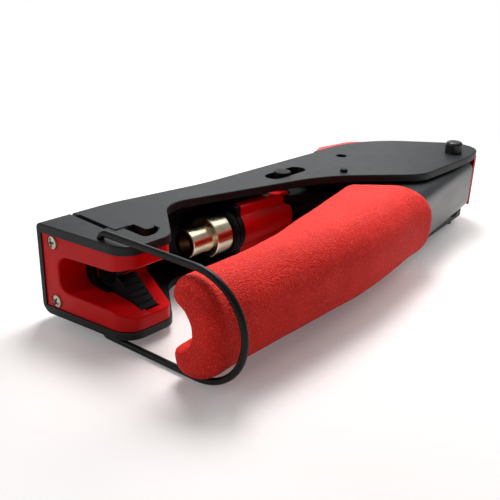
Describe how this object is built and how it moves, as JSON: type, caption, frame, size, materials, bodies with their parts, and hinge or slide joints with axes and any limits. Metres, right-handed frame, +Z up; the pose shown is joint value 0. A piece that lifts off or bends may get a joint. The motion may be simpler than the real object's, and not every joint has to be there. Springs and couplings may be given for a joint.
{
  "type": "coaxial connector compression tool",
  "caption": "Folding hand tool with a channel frame, cable jaws, a plunger driven by a linked foam-grip handle, and a wire bail that keeps the handle closed.",
  "frame": {"origin": "On the tool axis, in the middle of the round cable seat between the two jaws.", "axes": "X runs along the tool axis from the open head to the handle pivot, Y from the handle to the folded back, Z up out of the upper plate."},
  "size_m": [0.1614, 0.0669, 0.0322],
  "materials": {
    "black_paint": "satin black powder paint",
    "red_plastic": "semi-gloss moulded red",
    "zinc_steel": "bright zinc plate",
    "black_steel": "black oxide",
    "spring_steel": "drawn spring steel",
    "black_wire": "satin black lacquered wire",
    "black_cap": "gloss black",
    "nickel": "bright turned nickel plate",
    "grey_steel": "satin grey coat",
    "bronze": "sintered bronze",
    "red_foam": "matt foam skin with a fine grain"
  },
  "bodies": {
    "frame": {"frame": "black_paint", "head_block": "red_plastic", "head_screws": "zinc_steel", "anvil_plate": "black_steel", "jaw_pins": "black_steel", "upper_jaw_spring": "spring_steel", "lower_jaw_spring": "spring_steel", "stop_studs": "black_steel", "pivot_pin": "black_cap", "pivot_clip": "black_steel", "pivot_washers": "black_steel", "back_insert": "red_plastic", "return_spring": "spring_steel"},
    "handle": {"handle_channel": "grey_steel", "grip": "red_foam", "link_pin": "zinc_steel", "pivot_bush": "bronze"},
    "link": {"links": "black_steel", "link_spacer": "black_steel"},
    "slide": {"slide": "red_plastic", "slide_core": "black_steel", "plunger": "nickel", "lock_ring": "black_steel", "slide_screw": "zinc_steel", "cross_pin": "black_steel"},
    "bail": {"bail": "black_wire"},
    "upper_jaw": {"upper_jaw": "black_steel"},
    "lower_jaw": {"lower_jaw": "black_steel"}
  },
  "joints": [
    {"name": "handle_hinge", "type": "hinge", "parent": "frame", "child": "handle", "pos_m": [0.132, -0.0264, 0], "axis": [0, 0, 1], "range_deg": [0, 26]},
    {"name": "link_hinge", "type": "hinge", "parent": "handle", "child": "link", "pos_m": [0.115, -0.0286, 0], "axis": [0, 0, 1], "range_deg": [-35, 0]},
    {"name": "slide_travel", "type": "slide", "parent": "frame", "child": "slide", "axis": [1, 0, 0], "range_m": [0, 0.0071], "deforming": ["return_spring"]},
    {"name": "bail_swing", "type": "hinge", "parent": "frame", "child": "bail", "pos_m": [-0.0095, -0.0057, 0], "axis": [0, 0, 1], "range_deg": [-200, 0]},
    {"name": "upper_jaw_hinge", "type": "hinge", "parent": "frame", "child": "upper_jaw", "pos_m": [0, -0.0109, 0.0072], "axis": [1, 0, 0], "range_deg": [0, 18], "stiffness_Nm_per_rad": 0.05, "deforming": ["upper_jaw_spring"]},
    {"name": "lower_jaw_hinge", "type": "hinge", "parent": "frame", "child": "lower_jaw", "pos_m": [0, -0.0109, -0.0072], "axis": [1, 0, 0], "range_deg": [-18, 0], "stiffness_Nm_per_rad": 0.05, "deforming": ["lower_jaw_spring"]}
  ],
  "couplings": [
    {"joint": "link_hinge", "follows": "handle_hinge", "ratio": -1.3374},
    {"joint": "slide_travel", "follows": "handle_hinge", "m_per_rad": 0.015598},
    {"joint": "bail_swing", "follows": "handle_hinge", "ratio": -7.69}
  ]
}
